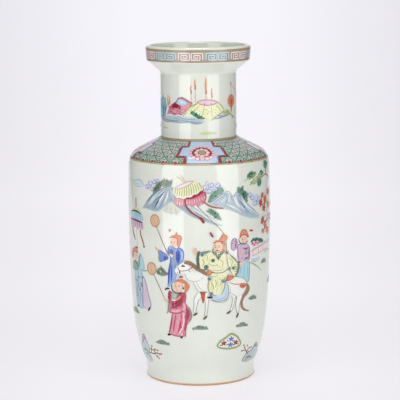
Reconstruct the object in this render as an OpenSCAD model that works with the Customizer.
// Rouleau vase in enamelled porcelain.
// The pot is thrown in sections, which are luted end to end: foot ring, base disc,
// two body sections, shoulder, neck and dished mouth. The fired enamel bands and
// panels lie on the glaze as thin coats. Millimetres, +Z up, origin at the centre
// of the face that the vase stands on.

/* [Overall] */
// Height from the standing face to where the shoulder meets the neck
body_h = 328.5; // [300:0.5:400]
// Height from the shoulder to where the mouth starts to flare
neck_h = 88.5; // [60:0.5:120]
// Height of the dished mouth
mouth_h = 35; // [31:0.5:44]
// Widest diameter of the body
belly_d = 192.2; // [172:0.2:232]

/* [Foot] */
// Diameter at the waist just above the foot
waist_d = 146.8; // [122:0.2:165]
// Height of the waist
waist_h = 10; // [8:0.5:13]
// Radius of the hollow sweep from the foot up into the body
sweep_r = 41; // [34:1:52]
// Height of the seam between foot ring and body, above the floor of the pot
foot_seam_lift = 5; // [3:0.5:8]
// Width of the level, unglazed face that the vase stands on
foot_face_w = 4.6; // [3:0.1:7]
// Bevel round the foot's outer edge, left bare of glaze
foot_bevel = 1.6; // [1:0.1:3]
// Depth of the recess under the base
recess_h = 12; // [7:0.5:13]
// Thickness of the base disc
base_t = 8; // [6:0.5:10]
// Thickness of the foot ring at the waist, outside the base disc
foot_ring_t = 7.9; // [6:0.1:10]

/* [Body] */
// Distance from the foot of the neck down to the widest part
belly_drop = 93.5; // [75:0.5:130]
// How much the body's radius draws in from its widest part to the shoulder
top_draw = 0.7; // [0:0.1:5]
// Thickness of the body wall
wall = 6; // [4:0.5:8]
// How full the body stays below its widest part, as a share of the drop to the sweep
fullness = 0.82; // [0.6:0.01:0.85]
// Height of the seam between the lower and the upper body section
body_seam_h = 150; // [120:1:180]

/* [Shoulder] */
// Radius of the turn from the body into the shoulder
shoulder_r = 24; // [16:1:32]
// Slope of the shoulder below the level, in degrees
shoulder_slope = 27; // [20:1:32]
// Radius of the hollow fillet between shoulder and neck
neck_fillet = 4; // [2:0.5:8]

/* [Neck] */
// Outside diameter of the neck
neck_d = 102.4; // [84:0.2:124]
// Thickness of the neck wall
neck_wall = 5; // [3:0.5:7]

/* [Mouth] */
// Outside diameter at the top of the lip
lip_d = 141; // [128:0.5:170]
// How far the lip leans out over its height
lip_lean = 1.5; // [0:0.1:4]
// Height of the upright lip
lip_h = 20.4; // [17:0.1:25]
// Thickness of the lip
lip_t = 5.8; // [4:0.1:8]
// Radius of the hollow fillet between the neck and the mouth's flare
mouth_fillet = 8; // [4:0.5:12]

/* [Enamel] */
// Thickness of the fired enamel coats
enamel_t = 0.3; // [0.2:0.05:0.6]
// Height of the brown line at the top of the lip
lip_top_line_h = 2.2; // [1.5:0.1:4]
// Height of the brown line at the foot of the lip
lip_low_line_h = 1.4; // [1:0.1:3]
// Half angle of a panel's widest, middle step, in degrees
panel_mid_half = 22; // [18:0.5:28]
// Half angle of a panel's inner step, next to the neck, in degrees
panel_in_half = 14.5; // [10:0.5:17]
// Half angle of a panel's outer step, in degrees
panel_out_half = 14; // [10:0.5:17]
// Length of the inner step, outwards from the neck
panel_in_len = 11.8; // [8:0.1:14]
// Distance from the body's widest part in to where the outer step begins
panel_out_len = 14.1; // [10:0.1:16]
// Turn of the panels about the axis, in degrees
panel_turn = 3; // [-10:0.5:10]

/* [Hidden] */
// the four blue panels and the four stretches of diaper between them are named pieces
panel_count = 4;
$fn = 180;

// how many pieces each curve of the outline is drawn in
sweep_n = 10;
body_n = 40;
draw_n = 8;
turn_n = 14;
round_n = 6;

height = body_h + neck_h + mouth_h;
belly_h = body_h - belly_drop;
belly_r = belly_d / 2;
body_top_r = belly_r - top_draw;
waist_r = waist_d / 2;
neck_r = neck_d / 2;
bore_r = neck_r - neck_wall;
base_r = waist_r - foot_ring_t;
floor_h = recess_h + base_t;
foot_seam_h = floor_h + foot_seam_lift;
lip_r = lip_d / 2;
lip_base_r = lip_r - lip_lean;
lip_base_h = height - lip_h;
panel_in_r = neck_r + panel_in_len;
panel_out_r = belly_r - panel_out_len;

glaze = [0.86, 0.88, 0.83];
brown = [0.5, 0.42, 0.3];
grey_pink = [0.75, 0.68, 0.68];
diaper_green = [0.45, 0.62, 0.55];
panel_blue = [0.62, 0.72, 0.85];

// ---- outlines: every list runs upwards, as [radius, height] points ----

function arc(centre, r, from, to, n) =
    [for (i = [0:n]) let(a = from + (to - from) * i / n) centre + r * [cos(a), sin(a)]];

function bezier(p, n) =
    [for (i = [0:n]) let(t = i / n, s = 1 - t)
        s * s * s * p[0] + 3 * s * s * t * p[1] + 3 * s * t * t * p[2] + t * t * t * p[3]];

// the corner p between a and b, rounded to radius r
function rounded(a, p, b, r, n) =
    let(u = (a - p) / norm(a - p), v = (b - p) / norm(b - p),
        half = acos(u * v) / 2,
        centre = p + (u + v) / norm(u + v) * r / sin(half),
        s = p + u * r / tan(half) - centre,
        e = p + v * r / tan(half) - centre,
        a0 = atan2(s[1], s[0]),
        turn = atan2(e[1], e[0]) - a0,
        short = turn > 180 ? turn - 360 : turn < -180 ? turn + 360 : turn)
    arc(centre, r, a0, a0 + short, n);

// the line moved sideways by d, away from the axis if d is positive
function moved(line, d) =
    [for (i = [0:len(line) - 1])
        let(a = line[max(i - 1, 0)], b = line[min(i + 1, len(line) - 1)], t = (b - a) / norm(b - a))
        line[i] + d * [t[1], -t[0]]];

function flip(list) = [for (i = [len(list) - 1:-1:0]) list[i]];
function by_height(line) = [for (p = line) [p[1], p[0]]];
function radius_at(line, z) = lookup(z, by_height(line));

// the stretch of a line between two heights
function between(line, low, high) = concat(
    [[radius_at(line, low), low]],
    [for (p = line) if (p[1] > low + 0.01 && p[1] < high - 0.01) p],
    [[radius_at(line, high), high]]);

// foot: a hollow sweep round the waist
sweep_centre = [waist_r + sweep_r, waist_h];
function sweep_angle(z) = 180 - asin((z - waist_h) / sweep_r);
foot_sweep = arc(sweep_centre, sweep_r, sweep_angle(foot_bevel), sweep_angle(foot_seam_h), sweep_n);

// body: one long curve from the sweep to the widest part, then a slow draw-in
sweep_end = foot_sweep[sweep_n];
body_drop = belly_h - foot_seam_h;
end_lean = 180 - sweep_angle(foot_seam_h);
lower_curve = bezier([
    sweep_end,
    sweep_end + 0.1 * body_drop * [sin(end_lean), cos(end_lean)],
    [belly_r, belly_h - fullness * body_drop],
    [belly_r, belly_h]], body_n);

// shoulder: a round turn, a cone and a hollow fillet into the neck
cone_fall = tan(shoulder_slope);
turn_end = 90 - shoulder_slope;
turn_centre = [body_top_r - shoulder_r,
    body_h - shoulder_r * sin(turn_end)
        - (body_top_r - shoulder_r + shoulder_r * cos(turn_end) - neck_r) * cone_fall];
draw_in = [for (i = [1:draw_n]) let(t = i / draw_n)
    [belly_r - (belly_r - body_top_r) * t * t, belly_h + (turn_centre[1] - belly_h) * t]];
shoulder_turn = arc(turn_centre, shoulder_r, 0, turn_end, turn_n);
neck_root = rounded(shoulder_turn[turn_n], [neck_r, body_h], [neck_r, body_h + neck_h],
    neck_fillet, round_n);

pot_outside = concat(foot_sweep, [for (i = [1:body_n]) lower_curve[i]], draw_in,
    [for (i = [1:turn_n]) shoulder_turn[i]], neck_root);

// mouth: flare, upright lip with a round top
flare_foot = [neck_r, body_h + neck_h];
flare_top = [lip_base_r, lip_base_h];
lip_centre = [lip_r - lip_t / 2, height - lip_t / 2];
lip_corner_r = 2;
mouth_root = rounded([neck_r, body_h], flare_foot, flare_top, mouth_fillet, round_n);
lip_corner = rounded(flare_foot, flare_top, [lip_r, lip_centre[1]], lip_corner_r, round_n);
mouth_outside = concat(mouth_root, lip_corner, arc(lip_centre, lip_t / 2, 0, 90, round_n));

flare_slope = atan2(flare_top[1] - flare_foot[1], flare_top[0] - flare_foot[0]);
flare_lift = lip_t / cos(flare_slope);
inner_flare_foot = [bore_r, flare_foot[1] + flare_lift - neck_wall * tan(flare_slope)];
inner_flare_top = [flare_top[0] - lip_t, flare_top[1] + flare_lift - lip_t * tan(flare_slope)];
dish_corner_r = 5;
mouth_inside = concat(
    rounded([bore_r, body_h], inner_flare_foot, inner_flare_top, mouth_fillet, round_n),
    rounded(inner_flare_foot, inner_flare_top, lip_centre - [lip_t / 2, 0], dish_corner_r, round_n),
    flip(arc(lip_centre, lip_t / 2, 90, 180, round_n)));

// seams between the sections
shoulder_seam_h = turn_centre[1];
neck_seam_h = neck_root[round_n][1];
mouth_seam_h = mouth_root[0][1];

// hollow of the pot, parallel to its outside from a little above the foot ring's seam
hollow_from = 3;
hollow_body = moved(concat([for (i = [hollow_from:body_n]) lower_curve[i]], draw_in,
    [for (i = [1:turn_n]) shoulder_turn[i]]), -wall);
cone_inside = hollow_body[len(hollow_body) - 1];
bore_foot = [bore_r, cone_inside[1] + (cone_inside[0] - bore_r) * cone_fall];
pot_inside = concat([[base_r, floor_h]], hollow_body, [bore_foot, [bore_r, mouth_seam_h]]);

// ---- sections of the pot ----

module turned(outline) {
    rotate_extrude() polygon(outline);
}

module section(low, high) {
    color(glaze) turned(concat(between(pot_outside, low, high), flip(between(pot_inside, low, high))));
}

module foot_ring() {
    bevel_in = [foot_sweep[0][0] - foot_bevel, 0];
    color(glaze) turned(concat(
        [[bevel_in[0] - foot_face_w, 0], bevel_in],
        between(pot_outside, foot_bevel, foot_seam_h),
        [[radius_at(pot_inside, foot_seam_h), foot_seam_h],
         [base_r, floor_h], [base_r, recess_h]]));
}

module base_disc() {
    color(glaze) translate([0, 0, recess_h]) cylinder(h = base_t, r = base_r);
}

module neck() {
    color(glaze) translate([0, 0, neck_seam_h]) difference() {
        cylinder(h = mouth_seam_h - neck_seam_h, r = neck_r);
        translate([0, 0, -1]) cylinder(h = mouth_seam_h - neck_seam_h + 2, r = bore_r);
    }
}

module mouth() {
    color(glaze) turned(concat(mouth_outside, flip(concat([[bore_r, mouth_seam_h]], mouth_inside))));
}

// ---- enamel ----

// a coat of enamel on a line, from one of its points to another
module coat(line, from, to) {
    over = moved(line, enamel_t);
    turned(concat([for (i = [from:to]) over[i]], [for (i = [to:-1:from]) line[i]]));
}

// the lip's upright face, cut at the edges of its lines
lip_face_foot = lip_corner[round_n];
lip_face_ends = [lip_face_foot, [lip_r, lip_centre[1]]];
lip_face = [for (h = [lip_face_foot[1], lip_face_foot[1] + lip_low_line_h,
                      lip_centre[1] - lip_top_line_h, lip_centre[1]])
    [radius_at(lip_face_ends, h), h]];

// the points of the pot's outside where the shoulder's coats start and end: the edge line
// is the sixth piece of the round turn, and the neck line lies in the fillet
turn_start = sweep_n + body_n + draw_n;
edge_low = turn_start + 5;
edge_high = edge_low + 1;
neck_root_start = turn_start + turn_n + 1;
neck_line_low = neck_root_start + 1;
neck_line_high = neck_root_start + 5;

module shoulder_coat() coat(pot_outside, edge_high, neck_line_low);

// an arc in plan, seen from the axis, as a list of points
plan_n = 8;
function plan_arc(r, from, to) = arc([0, 0], r, from, to, 2 * plan_n);

// plan of an arc-shaped step of a panel
module plan_step(r_in, r_out, half) {
    polygon(concat(plan_arc(r_in, -half, half), flip(plan_arc(r_out, -half, half))));
}

// a plan that starts at the middle of the panel with this number, standing through the shoulder
panel_step = 360 / panel_count;
module through_shoulder(number) {
    rotate([0, 0, -90 + panel_turn + (number - 1) * panel_step])
        translate([0, 0, shoulder_seam_h])
            linear_extrude(height = height - shoulder_seam_h)
                children();
}

// how far a cutting plan reaches past what it cuts, and its steps into each other
overcut = 4;

module panel_block(number) {
    through_shoulder(number) {
        plan_step(neck_r - overcut, panel_in_r + overcut, panel_in_half);
        plan_step(panel_in_r, panel_out_r, panel_mid_half);
        plan_step(panel_out_r - overcut, belly_r + overcut, panel_out_half);
    }
}

// the wedge between two panels' middles, its arc drawn well clear of the belly
module gap_block(number) {
    through_shoulder(number)
        polygon(concat([[0, 0]], plan_arc(1.3 * belly_r, 0, panel_step)));
}

module blue_panel(number) {
    color(panel_blue) intersection() {
        shoulder_coat();
        panel_block(number);
    }
}

module diaper_ground(number) {
    color(diaper_green) difference() {
        intersection() {
            shoulder_coat();
            gap_block(number);
        }
        panel_block(number);
        panel_block(number % panel_count + 1);
    }
}

foot_ring();
base_disc();
section(foot_seam_h, body_seam_h);  // lower_body
section(body_seam_h, shoulder_seam_h);  // upper_body
section(shoulder_seam_h, neck_seam_h);  // shoulder
neck();
mouth();
color(brown) coat(lip_face, 0, 1);  // lip_low_line
color(grey_pink) coat(lip_face, 1, 2);  // lip_fret_ground
color(brown) coat(lip_face, 2, 3);  // lip_top_line
color(brown) coat(pot_outside, edge_low, edge_high);  // shoulder_edge_line
color(brown) coat(pot_outside, neck_line_low, neck_line_high);  // neck_line
for (i = [1:panel_count]) {
    diaper_ground(i);
    blue_panel(i);
}
